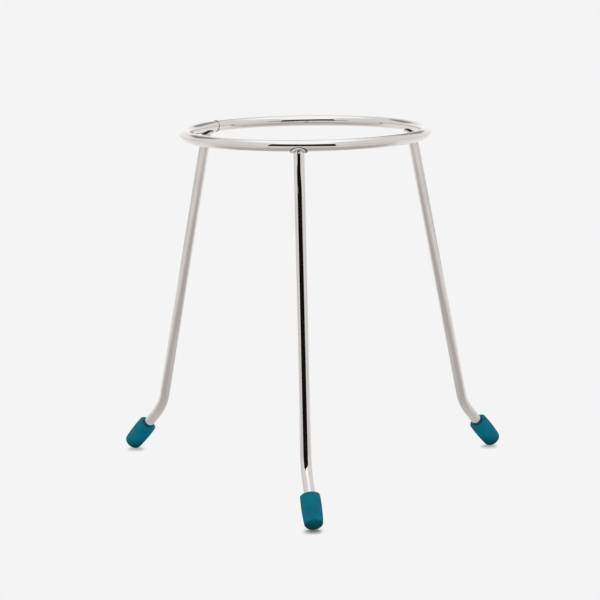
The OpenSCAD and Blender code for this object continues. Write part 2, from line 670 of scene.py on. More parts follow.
@dataclass(frozen=True)
class BrightWire:
    """Polished wire with faint lengthwise drawing lines and a slightly warm tint.

    Args:
        tint: colour of the clean metal.
        hazed: colour where the polish is a little dull.
        smooth: roughness of the clean metal.
        dull: roughness of the dullest haze.
        line_stretch: width of the drawing lines over their length.
        line_bump: how strongly they show.
        line_deep: how deep they are, in metres.
    """

    tint: tuple[float, float, float] = (0.665, 0.652, 0.645)
    hazed: tuple[float, float, float] = (0.625, 0.611, 0.603)
    smooth: float = 0.03
    dull: float = 0.075
    line_stretch: float = 0.012
    line_bump: float = 0.04
    line_deep: float = 0.00002

    def dress(self, name: str, along: Matrix | None) -> bpy.types.Material:
        """Makes the material for one wire.

        Args:
            name: the material's name.
            along: place of a straight wire whose Z is its length, or None for the ring.

        Returns:
            The material.
        """
        material, sheet, surface = Finish.start(name)
        if along is None:
            place = self._round_the_ring(sheet, sheet.place())
        else:
            place = self._down_the_leg(sheet, sheet.place(), along)
        wear = SurfaceWear.place(sheet, place, stretch=self.line_stretch, scale=1.0)
        surface.inputs["Metallic"].default_value = 1.0
        sheet.join(sheet.blend(wear.outputs["Haze"], self.tint, self.hazed),
                   surface.inputs["Base Color"])
        sheet.join(sheet.span(wear.outputs["Haze"], SHARE, self.smooth, self.dull),
                   surface.inputs["Roughness"])
        Finish.bump(sheet, surface, wear.outputs["Lines"], self.line_bump, self.line_deep)
        return material

    @staticmethod
    def _round_the_ring(sheet: NodeSheet, place: bpy.types.NodeSocket) -> bpy.types.NodeSocket:
        """Unrolls the ring so that Z runs along its wire.

        Args:
            sheet: the material's sheet.
            place: object coordinates.

        Returns:
            The unrolled coordinates.
        """
        x, y, z = sheet.split(place)
        run = sheet.maths("MULTIPLY", sheet.maths("ARCTAN2", y, x), STAND.ring_r)
        return sheet.vector(sheet.length(sheet.vector(x, y)), z, run)

    @staticmethod
    def _down_the_leg(sheet: NodeSheet, place: bpy.types.NodeSocket,
                      along: Matrix) -> bpy.types.NodeSocket:
        """Turns object coordinates so that Z runs along a leg.

        Args:
            sheet: the material's sheet.
            place: object coordinates.
            along: the leg's place.

        Returns:
            The turned coordinates.
        """
        node = sheet.add("ShaderNodeMapping", vector_type="POINT")
        node.inputs["Rotation"].default_value = along.to_3x3().inverted().to_euler()
        sheet.join(place, node.inputs["Vector"])
        return node.outputs[0]


@dataclass(frozen=True)
class WeldMetal:
    """Weld bead under the same bright plating, a little duller and pitted, with painted shade in
    the crease along its toes.

    Args:
        tint: colour of the clean bead.
        burnt: colour in its pits.
        toe: colour of the painted shade in the crease where it meets the ring.
        toe_wide: how far that painted shade reaches from the ring's wire.
        toe_full: share of that reach over which it is darkest.
        toe_break: share of that painted shade that is lost where it breaks off.
        toe_pattern: where it breaks off.
        smooth: roughness of the clean metal.
        dull: roughness of the dullest haze.
        wear_scale: how many times finer than on the wires its haze and pits are.
        pit_bump: how strongly the pits show.
        pit_deep: how deep they are, in metres.
    """

    tint: tuple[float, float, float] = (0.67, 0.655, 0.648)
    burnt: tuple[float, float, float] = (0.40, 0.385, 0.37)
    toe: tuple[float, float, float] = (0.02, 0.018, 0.016)
    toe_wide: float = 0.0013
    toe_full: float = 0.45
    toe_break: float = 0.0
    toe_pattern: Pattern = Pattern(scale=520.0, detail=0.0, reach=(0.46, 0.60))
    smooth: float = 0.05
    dull: float = 0.14
    wear_scale: float = 1.6
    pit_bump: float = 0.15
    pit_deep: float = 0.00004

    def dress(self, name: str) -> bpy.types.Material:
        """Makes the material.

        Args:
            name: the material's name.

        Returns:
            The material.
        """
        material, sheet, surface = Finish.start(name)
        place = sheet.place()
        wear = SurfaceWear.place(sheet, place, stretch=1.0, scale=self.wear_scale)
        surface.inputs["Metallic"].default_value = 1.0
        colour = sheet.blend(wear.outputs["Pits"], self.tint, self.burnt)
        # Painted shade: near-black in the crease where the bead meets the ring's wire, broken off
        # in patches
        near = sheet.span(self._off_the_ring(sheet, place),
                          (self.toe_full * self.toe_wide, self.toe_wide), 1.0, 0.0, eased=True)
        whole = self.toe_pattern.mask(sheet, place, lowest=1.0 - self.toe_break)
        colour = sheet.blend(sheet.maths("MULTIPLY", near, whole), colour, self.toe)
        sheet.join(colour, surface.inputs["Base Color"])
        sheet.join(sheet.span(wear.outputs["Haze"], SHARE, self.smooth, self.dull),
                   surface.inputs["Roughness"])
        Finish.bump(sheet, surface, wear.outputs["Pits"], self.pit_bump, self.pit_deep)
        return material

    @staticmethod
    def _off_the_ring(sheet: NodeSheet, place: bpy.types.NodeSocket) -> bpy.types.NodeSocket:
        """Works out how far a point lies off the surface of the ring's wire.

        Args:
            sheet: the material's sheet.
            place: object coordinates.

        Returns:
            The distance, in metres.
        """
        x, y, z = sheet.split(place)
        outward = sheet.maths("SUBTRACT", sheet.length(sheet.vector(x, y)), STAND.ring_r)
        across = sheet.vector(outward, sheet.maths("SUBTRACT", z, STAND.ring_z))
        return sheet.maths("SUBTRACT", sheet.length(across), STAND.ring_wire_r)


@dataclass(frozen=True)
class CapRubber:
    """Matte teal moulded rubber with soft mottling, painted shade on its closed end and painted
    shade near the bench.

    Args:
        body: main colour.
        deep: colour of the darker mottling.
        sole: colour of the painted shade on the closed end, which faces the bench.
        sole_deep: how far up the cap that painted shade reaches.
        sole_full: share of that length over which it is darkest.
        bench_shade: colour of the painted shade where the cap meets the bench.
        bench_shade_high: how far off the bench that painted shade reaches.
        rough: least and greatest roughness of its grain.
        gloss: specular level of the rubber.
        wear_scale: how many times finer than on the wires its mottling and grain are.
        grain_bump: how strongly the grain shows.
        grain_deep: how deep it is, in metres.
    """

    body: tuple[float, float, float] = (0.0022, 0.158, 0.232)
    deep: tuple[float, float, float] = (0.0014, 0.126, 0.182)
    sole: tuple[float, float, float] = (0.0007, 0.080, 0.111)
    sole_deep: float = 0.0032
    sole_full: float = 0.6
    bench_shade: tuple[float, float, float] = (0.0012, 0.045, 0.063)
    bench_shade_high: float = 0.007
    rough: tuple[float, float] = (0.56, 0.70)
    gloss: float = 0.035
    wear_scale: float = 2.4
    grain_bump: float = 0.2
    grain_deep: float = 0.00005

    def dress(self, name: str) -> bpy.types.Material:
        """Makes the material.

        Args:
            name: the material's name.

        Returns:
            The material.
        """
        material, sheet, surface = Finish.start(name)
        place = sheet.place()
        wear = SurfaceWear.place(sheet, place, stretch=1.0, scale=self.wear_scale)
        height = sheet.split(place)[2]
        # Painted shade: the cap darkens towards the bench
        low = sheet.span(height, (0.0, self.bench_shade_high), 1.0, 0.0)
        up = sheet.add("ShaderNodeAttribute", attribute_name=UP_THE_CAP).outputs["Fac"]
        # Painted shade: the closed end is darker, up to sole_deep from it
        end_shaded = sheet.span(up, (self.sole_full * self.sole_deep, self.sole_deep), 1.0, 0.0)
        colour = sheet.blend(wear.outputs["Haze"], self.body, self.deep)
        colour = sheet.blend(end_shaded, colour, self.sole)
        sheet.join(sheet.blend(low, colour, self.bench_shade), surface.inputs["Base Color"])
        sheet.join(sheet.span(wear.outputs["Lines"], SHARE, *self.rough),
                   surface.inputs["Roughness"])
        surface.inputs["Specular IOR Level"].default_value = self.gloss
        Finish.bump(sheet, surface, wear.outputs["Lines"], self.grain_bump, self.grain_deep)
        return material


@dataclass
class Ring:
    """The hoop of wire that the glassware rests on.

    Args:
        sizes: the stand's sizes.
        around: faces round the ring.
        section: faces round its wire.
    """

    sizes: StandSizes
    around: int = 320
    section: int = 64

    def build(self) -> bpy.types.Object:
        """Spins the wire's section into a closed hoop.

        Returns:
            The ring.
        """
        bm = bmesh.new()
        spin_hoop(bm, self.sizes.ring_r, self.sizes.ring_z, self.sizes.ring_wire_r, self.section,
                  self.around)
        return PieceBench.make(bm, "ring_wire", "ring", Slot.WIRE,
                               BrightWire().dress("bright_wire_ring", None))


@dataclass
class RingJoint:
    """The thin bead that closes the ring.

    Args:
        sizes: the stand's sizes.
        bearing: bearing of the joint from +X, in degrees.
        bead_r: section radius of the bead.
        bead_h: height of the bead above the wire.
        wobble: how far its surface is uneven.
        wobble_scale: ripples of that surface per metre.
        waver: how far it strays to either side of the joint.
        waver_scale: how often it does so per metre.
        metal: its finish, whose painted crease shade breaks off here and there.
        around: faces round the wire.
        section: faces round the bead's section.
    """

    sizes: StandSizes
    bearing: float = 143.5
    bead_r: float = 0.0009
    bead_h: float = 0.00035
    wobble: float = 0.00022
    wobble_scale: float = 900.0
    waver: float = 0.0011
    waver_scale: float = 420.0
    metal: WeldMetal = WeldMetal(toe_wide=0.00042, toe_break=0.85)
    around: int = 96
    section: int = 32

    def build(self) -> bpy.types.Object:
        """Spins the bead round the wire and leaves it slightly uneven.

        Returns:
            The bead.
        """
        bm = bmesh.new()
        reach = self.sizes.ring_wire_r + self.bead_h - self.bead_r
        spin_hoop(bm, reach, 0.0, self.bead_r, self.section, self.around)
        for vert in bm.verts:
            place = Vector((vert.co.x, vert.co.y, 0.0))
            vert.co.z += self.waver * noise.noise(place * self.waver_scale)
        roughen(bm, self.wobble, self.wobble_scale)
        across = (turned(self.bearing, "Z") @ moved(self.sizes.ring_r, 0, self.sizes.ring_z)
                  @ turned(90, "X"))
        bmesh.ops.transform(bm, matrix=across, verts=bm.verts)
        return PieceBench.make(bm, "ring_joint_bead", "ring_seam_weld", Slot.WELD,
                               self.metal.dress("bright_weld_ring_joint"))


@dataclass
class Leg:
    """One leg of bent wire.

    Args:
        sizes: the stand's sizes.
        cap: the cap that its foot ends in.
        stand: how the leg stands.
        section: faces round the wire.
        straight_steps: lengths that the straight part is drawn in.
        bend_steps: lengths that the bend is drawn in.
        foot_steps: lengths that the foot is drawn in.
        cope_steps: halvings in which the cut of its top is found.
        cope_reach: how far down that cut is looked for, in radii of the ring's wire.
    """

    sizes: StandSizes
    cap: CapSizes
    stand: LegSet
    section: int = 64
    straight_steps: int = 12
    bend_steps: int = 24
    foot_steps: int = 3
    cope_steps: int = 40
    cope_reach: float = 3.0

    def build(self) -> bpy.types.Object:
        """Draws the wire down from the ring, bends it, and runs it into its cap.

        Returns:
            The leg.
        """
        straight = self.stand.straight(self.sizes, self.cap)
        bm = bmesh.new()
        made = bmesh.ops.create_circle(bm, segments=self.section, radius=self.sizes.leg_wire_r,
                                       matrix=moved(0, 0, straight))
        top = list(made["verts"])
        edges = self._draw(bm, edges_of(top), Vector((0, 0, -straight)), self.straight_steps)
        bent = bmesh.ops.spin(bm, geom=edges + verts_of(edges),
                              cent=(self.sizes.bend_r, 0, 0), axis=(0, 1, 0),
                              angle=-math.radians(self.sizes.foot_bend), steps=self.bend_steps)
        edges = [part for part in bent["geom_last"] if isinstance(part, bmesh.types.BMEdge)]
        down = turned(-self.sizes.foot_bend, "Y").to_3x3() @ Vector((0, 0, -1))
        length = self.sizes.foot_straight - self.cap.floor_t
        edges = self._draw(bm, edges, down * length, self.foot_steps)
        bmesh.ops.contextual_create(bm, geom=edges)
        bmesh.ops.transform(bm, matrix=self.stand.bend(self.sizes, self.cap), verts=bm.verts)
        self._cope(top)
        top_edges = [edge for edge in bm.edges if edge.is_boundary]
        bmesh.ops.contextual_create(bm, geom=top_edges)
        name = self.stand.place.value
        finish = BrightWire().dress(f"bright_wire_{name}", self.stand.top(self.sizes))
        return PieceBench.make(bm, f"leg_wire_{name}", f"leg_{name}", Slot.WIRE, finish)

    @staticmethod
    def _draw(bm: bmesh.types.BMesh, edges: list[bmesh.types.BMEdge], way: Vector,
              steps: int) -> list[bmesh.types.BMEdge]:
        """Draws an open end of the wire further.

        Args:
            bm: the wire.
            edges: the open end.
            way: how far and which way to draw it.
            steps: how many lengths to draw it in.

        Returns:
            The new open end.
        """
        for _ in range(steps):
            verts, edges = extruded(bm, edges)
            bmesh.ops.translate(bm, vec=way / steps, verts=verts)
        return edges

    def _cope(self, top: list[bmesh.types.BMVert]) -> None:
        """Cuts the leg's top to the round of the ring, by sliding it down to the ring's surface.

        Args:
            top: the points of the leg's upper end, in place.
        """
        down = self.stand.top(self.sizes).to_3x3() @ Vector((0, 0, -1))
        for vert in top:
            inside, outside = 0.0, self.cope_reach * self.sizes.ring_wire_r
            for _ in range(self.cope_steps):
                middle = (inside + outside) / 2
                point = vert.co + down * middle
                across = math.hypot(point.x, point.y) - self.sizes.ring_r
                depth = math.hypot(across, point.z - self.sizes.ring_z)
                if depth < self.sizes.ring_wire_r:
                    inside = middle
                else:
                    outside = middle
            vert.co = vert.co + down * outside


@dataclass
class LegWeld:
    """The weld bead in the crook between a leg and the ring.

    Args:
        sizes: the stand's sizes.
        stand: how the leg stands.
        bead_r: section radius of the bead.
        bead_rise: height of its centre above the underside of the ring's wire.
        bead_out: how far its centre lies outside the surface of the leg.
        ripple: how far its surface is uneven.
        ripple_scale: ripples of that surface per metre.
        face_flat: share of its width that it keeps where the leg is flush with the ring.
        face_low: share of its height that it keeps there.
        face_lift: how far it lies higher there.
        foot_low: share of its lower half that it keeps all round.
        drop: half sizes of the drop of metal below its outer face.
        drop_low: how far that drop's middle lies below the bead's centre.
        drop_sunk: how far it lies inside the surface of the leg, over its half thickness.
        drop_cuts: faces round the drop and up it.
        around: faces round the leg.
        section: faces round the bead's section.
    """

    sizes: StandSizes
    stand: LegSet
    bead_r: float = 0.00175
    bead_rise: float = -0.0001
    bead_out: float = 0.0002
    ripple: float = 0.00010
    ripple_scale: float = 420.0
    face_flat: float = 0.42
    face_low: float = 0.55
    face_lift: float = 0.0011
    foot_low: float = 0.55
    drop: tuple[float, float, float] = (0.0005, 0.00055, 0.00075)
    drop_low: float = 0.0008
    drop_sunk: float = 0.2
    drop_cuts: tuple[int, int] = (24, 16)
    around: int = 128
    section: int = 40

    def build(self) -> bpy.types.Object:
        """Spins the bead round the leg and leaves it rippled.

        Returns:
            The bead.
        """
        bm = bmesh.new()
        spin_hoop(bm, self.sizes.leg_wire_r + self.bead_out, 0.0, self.bead_r, self.section,
                  self.around)
        self._saddle(bm)
        roughen(bm, self.ripple, self.ripple_scale)
        drop_at = moved(self.sizes.leg_wire_r - self.drop_sunk * self.drop[0], 0, -self.drop_low)
        around, up = self.drop_cuts
        bmesh.ops.create_uvsphere(bm, u_segments=around, v_segments=up, radius=1.0,
                                  matrix=drop_at @ Matrix.Diagonal((*self.drop, 1.0)))
        below = self.sizes.ring_wire_r - self.bead_rise
        bmesh.ops.transform(bm, matrix=self.stand.top(self.sizes) @ moved(0, 0, -below),
                            verts=bm.verts)
        name = self.stand.place.value
        return PieceBench.make(bm, f"leg_bead_{name}", f"leg_weld_{name}", Slot.WELD,
                               WeldMetal().dress(f"bright_weld_{name}"))

    def _saddle(self, bm: bmesh.types.BMesh) -> None:
        """Draws the bead thin and high where the leg is flush with the ring, full in the crooks.

        Args:
            bm: the bead, round the leg's axis.
        """
        for vert in bm.verts:
            wide = vert.co.xy.length
            full = abs(vert.co.y) / wide
            out = (wide - self.sizes.leg_wire_r) * (self.face_flat + (1 - self.face_flat) * full)
            vert.co.xy *= (self.sizes.leg_wire_r + out) / wide
            low = self.foot_low if vert.co.z < 0 else 1.0
            vert.co.z = (vert.co.z * low * (self.face_low + (1 - self.face_low) * full)
                         + self.face_lift * (1 - full))


@dataclass
class FootCap:
    """A soft cap pulled over the end of a leg.

    Args:
        sizes: the stand's sizes.
        cap: the cap's sizes.
        stand: how its leg stands.
        around: faces round the cap.
        side_cuts: cuts between the bands of its side.
        corner_steps: faces across the rounding of its closed end.
        lip_steps: faces across each edge of its mouth.
        dome_inset: width of the rim of its domed end, as a share of the end's radius.
    """

    sizes: StandSizes
    cap: CapSizes
    stand: LegSet
    around: int = 96
    side_cuts: int = 9
    corner_steps: int = 10
    lip_steps: int = 5
    dome_inset: float = 0.125

    def build(self) -> bpy.types.Object:
        """Turns the cap's walls from discs, rounds its corners and swells its side.

        Returns:
            The cap.
        """
        cap = self.cap
        bm = bmesh.new()
        made = bmesh.ops.create_circle(bm, cap_ends=True, segments=self.around, radius=cap.tip_r,
                                       matrix=moved(0, 0, cap.crown))
        side = self._raise(bm, edges_of(made["verts"]), cap.mouth_r / cap.tip_r,
                           cap.length - cap.crown)
        inner = self._raise(bm, side, cap.bore_r / cap.mouth_r, 0.0)
        floor = self._raise(bm, inner, 1.0, cap.floor_t - cap.length)
        bmesh.ops.contextual_create(bm, geom=floor)
        self._round(bm, self._at(bm, cap.crown, cap.tip_r), cap.corner_r, self.corner_steps)
        self._round(bm, self._at(bm, cap.length, cap.mouth_r), cap.lip_r, self.lip_steps)
        self._round(bm, self._at(bm, cap.length, cap.bore_r), cap.lip_r, self.lip_steps)
        self._swell(bm)
        self._crown(bm)
        up_the_cap = bm.verts.layers.float.new(UP_THE_CAP)
        for vert in bm.verts:
            vert[up_the_cap] = vert.co.z
        bmesh.ops.transform(bm, matrix=self.stand.foot_end(self.sizes, cap), verts=bm.verts)
        name = self.stand.place.value
        return PieceBench.make(bm, f"foot_cap_{name}_rubber", f"foot_cap_{name}", Slot.RUBBER,
                               CapRubber().dress(f"cap_rubber_{name}"))

    @staticmethod
    def _raise(bm: bmesh.types.BMesh, edges: list[bmesh.types.BMEdge], widen: float,
               rise: float) -> list[bmesh.types.BMEdge]:
        """Carries an open edge on to a new width and height.

        Args:
            bm: the cap.
            edges: the open edge.
            widen: new radius over the old.
            rise: how far up it goes, in metres.

        Returns:
            The new open edge.
        """
        verts, rim = extruded(bm, edges)
        bmesh.ops.scale(bm, vec=(widen, widen, 1.0), verts=verts)
        bmesh.ops.translate(bm, vec=(0, 0, rise), verts=verts)
        return rim

    @staticmethod
    def _at(bm: bmesh.types.BMesh, height: float, radius: float) -> list[bmesh.types.BMEdge]:
        """Finds the round edge at a height and radius.

        Args:
            bm: the cap.
            height: its height, in metres.
            radius: its radius, in metres.

        Returns:
            Its edges.
        """
        return [edge for edge in bm.edges
                if all(abs(vert.co.z - height) < FIND_GAP
                       and abs(math.hypot(vert.co.x, vert.co.y) - radius) < FIND_GAP
                       for vert in edge.verts)]

    @staticmethod
    def _round(bm: bmesh.types.BMesh, edges: list[bmesh.types.BMEdge], radius: float,
               steps: int) -> None:
        """Rounds an edge.

        Args:
            bm: the cap.
            edges: the edge to round.
            radius: how far the rounding reaches, in metres.
            steps: faces across it.
        """
        bmesh.ops.bevel(bm, geom=edges, offset=radius, offset_type="OFFSET", affect="EDGES",
                        segments=steps, profile=0.5, material=-1, clamp_overlap=True)

    def _swell(self, bm: bmesh.types.BMesh) -> None:
        """Cuts the outer side into bands and swells them a little.

        Args:
            bm: the cap.
        """
        low, high = self.cap.corner_z, self.cap.length - self.cap.lip_r
        half = (high - low) / 2
        long_edges = [edge for edge in bm.edges
                      if abs(edge.verts[0].co.z - edge.verts[1].co.z) > half
                      and max(v.co.xy.length for v in edge.verts) > self.cap.tip_r - MERGE_GAP]
        bmesh.ops.subdivide_edges(bm, edges=long_edges, cuts=self.side_cuts, use_grid_fill=True)
        for vert in bm.verts:
            share = (vert.co.z - low) / (high - low)
            wide = vert.co.xy.length
            if 0 < share < 1 and wide > (self.cap.bore_r + self.cap.tip_r) / 2:
                grown = 1 + 4 * self.cap.swell * share * (1 - share) / wide
                vert.co.x *= grown
                vert.co.y *= grown

    def _crown(self, bm: bmesh.types.BMesh) -> None:
        """Domes the closed end.

        Args:
            bm: the cap.
        """
        flat = [face for face in bm.faces
                if all(abs(vert.co.z - self.cap.crown) < FIND_GAP for vert in face.verts)]
        bmesh.ops.inset_region(bm, faces=flat, thickness=self.dome_inset * self.cap.tip_r,
                               use_even_offset=True)
        bmesh.ops.poke(bm, faces=[face for face in bm.faces
                                  if len(face.verts) == self.around
                                  and all(v.co.z < self.cap.floor_t / 2 for v in face.verts)])
        for vert in bm.verts:
            share = vert.co.xy.length / self.cap.flat_r
            if abs(vert.co.z - self.cap.crown) < FIND_GAP and share < 1:
                vert.co.z = self.cap.crown * share ** 2


class StageBench:
    """Sets out what stands round the part and isn't part of it."""

    @staticmethod
    def cloth(name: str) -> tuple[bpy.types.Material, NodeSheet, bpy.types.Node]:
        """Opens a material for the studio.

        Args:
            name: the material's name.

        Returns:
            The material, its sheet and its output node.
        """
        material = bpy.data.materials.new(name)
        sheet = NodeSheet.of(material)
        return material, sheet, sheet.add("ShaderNodeOutputMaterial")

    @staticmethod
    def set_out(bm: bmesh.types.BMesh, name: str, material: bpy.types.Material,
                mirrored_only: bool) -> None:
        """Makes a thing of the studio out of a shape.

        Args:
            bm: the shape, already in place. It is freed.
            name: the thing's name.
            material: what it is made of.
            mirrored_only: whether only bright metal sees it.
        """
        mesh = bpy.data.meshes.new(name)
        bm.to_mesh(mesh)
        bm.free()
        mesh.materials.append(material)
        thing = bpy.data.objects.new(name, mesh)
        bpy.context.scene.collection.objects.link(thing)
        if mirrored_only:
            thing.visible_camera = False
            thing.visible_diffuse = False
            thing.visible_transmission = False
            thing.visible_shadow = False


@dataclass
class PaperFloor:
    """Pale paper that the stand rests on, with tight soft shade where a cap touches it.

    Args:
        rests: where the caps touch it.
        half: half width of the paper.
        tone: brightness of the paper in plain view.
        bounce: share of light that it throws back on the part.
        shade_reach: how far the shade of a cap reaches, in metres.
        shade_slant: how far from upright the light behind that shade stands, in degrees.
        shade_rays: rays that measure how much of that light is hidden.
        shade_light: shares of that light at which the shade is darkest and at which it ends.
        shade_floor: light that is left where it is darkest.
        shade_softness: power that lightens the shade away from the contact.
        shade_half: half width and half depth of that shade, in metres.
        shade_fore: how far its middle lies before the contact, as a share of its half depth.
        shade_rim: shares of its half sizes at which it starts to fade and at which it is gone.
        shade_front: how deep it is under a cap in front.
        shade_rear: how deep it is under a cap at the back.
        under_tone: what bright metal sees of it right under the ring.
        under_reach: distances from the ring's axis over which that tone gives way.
        near_tone: what it sees of it round the feet and just before them.
        far_tone: what it sees of it further out.
        before_reach: distances over which the near tone becomes the far one.
        rear_tone: what it sees of it behind the stand.
        behind_reach: distances over which the tone under the ring becomes that one.
        back_reach: where along Y the front gives way to the back.
        mirrored_tint: colour of the paper in bright metal.
    """

    rests: tuple[Vector, ...]
    half: float = 30.0
    tone: float = 0.905
    bounce: float = 0.80
    shade_reach: float = 0.0085
    shade_slant: float = 50.0
    shade_rays: int = 6
    shade_light: tuple[float, float] = (0.46, 0.82)
    shade_floor: float = 0.04
    shade_softness: float = 0.6
    shade_half: tuple[float, float] = (0.0066, 0.0150)
    shade_fore: float = 0.25
    shade_rim: tuple[float, float] = (0.55, 1.1)
    shade_front: float = 1.0
    shade_rear: float = 0.66
    under_tone: float = 0.74
    under_reach: tuple[float, float] = (0.04, 0.10)
    near_tone: float = 0.61
    far_tone: float = 0.94
    before_reach: tuple[float, float] = (0.23, 0.49)
    rear_tone: float = 1.07
    behind_reach: tuple[float, float] = (0.08, 0.24)
    back_reach: tuple[float, float] = (-0.02, 0.10)
    mirrored_tint: tuple[float, float, float] = (1.0, 0.955, 0.938)

    def build(self) -> None:
        """Lays the paper."""
        bm = bmesh.new()
        bmesh.ops.create_grid(bm, x_segments=1, y_segments=1, size=self.half)
        material, sheet, out = StageBench.cloth("studio_paper")
        path = sheet.add("ShaderNodeLightPath")
        bounced = sheet.add("ShaderNodeBsdfDiffuse")
        bounced.inputs["Color"].default_value = (self.bounce,) * 3 + (1.0,)
        mirrored = sheet.add("ShaderNodeEmission")
        sheet.join(self._mirrored_tone(sheet), mirrored.inputs["Strength"])
        mirrored.inputs["Color"].default_value = (*self.mirrored_tint, 1.0)
        plain = sheet.add("ShaderNodeEmission")
        sheet.join(self._plain_tone(sheet), plain.inputs["Color"])
        clear = sheet.add("ShaderNodeBsdfTransparent")
        side = sheet.add("ShaderNodeNewGeometry")
        surface = bounced.outputs[0]
        for share, other in ((path.outputs["Is Glossy Ray"], mirrored),
                             (path.outputs["Is Camera Ray"], plain),
                             (side.outputs["Backfacing"], clear)):
            surface = sheet.either(share, surface, other.outputs[0])
        sheet.join(surface, out.inputs["Surface"])
        StageBench.set_out(bm, "studio_floor", material, mirrored_only=False)

    def _mirrored_tone(self, sheet: NodeSheet) -> bpy.types.NodeSocket:
        """Lays out what bright metal sees of the paper: dim round the feet, bright behind them.

        Args:
            sheet: the paper's sheet.

        Returns:
            The tone.
        """
        place = sheet.place()
        away = sheet.length(place)
        before = sheet.span(away, self.before_reach, self.near_tone, self.far_tone)
        behind = sheet.span(away, self.behind_reach, self.under_tone, self.rear_tone)
        back = sheet.span(sheet.split(place)[1], self.back_reach, 0.0, 1.0, eased=True)
        lift = sheet.maths("MULTIPLY", back, sheet.maths("SUBTRACT", behind, before))
        under = sheet.span(away, self.under_reach, self.under_tone, 0.0, eased=True)
        return sheet.maths("MAXIMUM", sheet.maths("ADD", before, lift), under)

    def _plain_tone(self, sheet: NodeSheet) -> bpy.types.NodeSocket:
        """Lays out the paper's plain tone and the shade under whatever stands on it.

        Args:
            sheet: the paper's sheet.

        Returns:
            The tone.
        """
        open_sky = sheet.add("ShaderNodeAmbientOcclusion", samples=self.shade_rays)
        open_sky.inputs["Distance"].default_value = self.shade_reach
        slant = math.radians(self.shade_slant)
        sheet.join(sheet.vector(0.0, math.sin(slant), math.cos(slant)), open_sky.inputs["Normal"])
        reaching = sheet.span(open_sky.outputs["AO"], self.shade_light, self.shade_floor, 1.0)
        light = sheet.maths("POWER", reaching, self.shade_softness)
        place = sheet.place()
        near = 0.0
        for rest in self.rests:
            near = sheet.maths("MAXIMUM", self._round_a_rest(sheet, place, rest), near)
        shade = sheet.maths("MULTIPLY", sheet.maths("SUBTRACT", 1.0, light), near)
        return sheet.maths("MULTIPLY", sheet.maths("SUBTRACT", 1.0, shade), self.tone)

    def _round_a_rest(self, sheet: NodeSheet, place: bpy.types.NodeSocket,
                      rest: Vector) -> bpy.types.NodeSocket:
        """Lays out how deep the shade may be round one point of contact.

        Args:
            sheet: the paper's sheet.
            place: object coordinates.
            rest: the point of contact.

        Returns:
            The depth, 0 away from it.
        """
        wide, deep = self.shade_half
        middle = (rest.x, rest.y - self.shade_fore * deep, 0.0)
        off = sheet.vector_maths("SUBTRACT", place, middle).outputs[0]
        sized = sheet.vector_maths("MULTIPLY", off, (1 / wide, 1 / deep, 0.0)).outputs[0]
        depth = self.shade_front if rest.y < 0 else self.shade_rear
        return sheet.span(sheet.length(sized), self.shade_rim, depth, 0.0, eased=True)


@dataclass(frozen=True)
class TentFlag:
    """A grey flag hung in the back of the tent, as bright metal sees it.

    Args:
        bearing: its middle from -Y towards +X, in degrees.
        half_wide: half its width, in degrees.
        rise: height of its middle, in degrees.
        half_high: half its height, in degrees.
        depth: share of the tent's light that it takes away.
        rim: shares of its half sizes at which it starts to fade and at which it is gone.
    """

    bearing: float
    half_wide: float
    rise: float
    half_high: float
    depth: float
    rim: tuple[float, float] = (0.6, 1.2)

    def light_left(self, sheet: NodeSheet, bearing: bpy.types.NodeSocket,
                   rise: bpy.types.NodeSocket) -> bpy.types.NodeSocket:
        """Lays out the share of light that the flag leaves.

        Args:
            sheet: the tent's sheet.
            bearing: bearing on the tent, in degrees.
            rise: height on the tent, in degrees.

        Returns:
            The share, 1 away from the flag.
        """
        masks = []
        for value, middle, half in ((bearing, self.bearing, self.half_wide),
                                    (rise, self.rise, self.half_high)):
            off = sheet.maths("ABSOLUTE", sheet.maths("SUBTRACT", value, middle))
            fade = (self.rim[0] * half, self.rim[1] * half)
            masks.append(sheet.span(off, fade, 1.0, 0.0, eased=True))
        taken = sheet.maths("MULTIPLY", sheet.maths("MULTIPLY", *masks), self.depth)
        return sheet.maths("SUBTRACT", 1.0, taken)


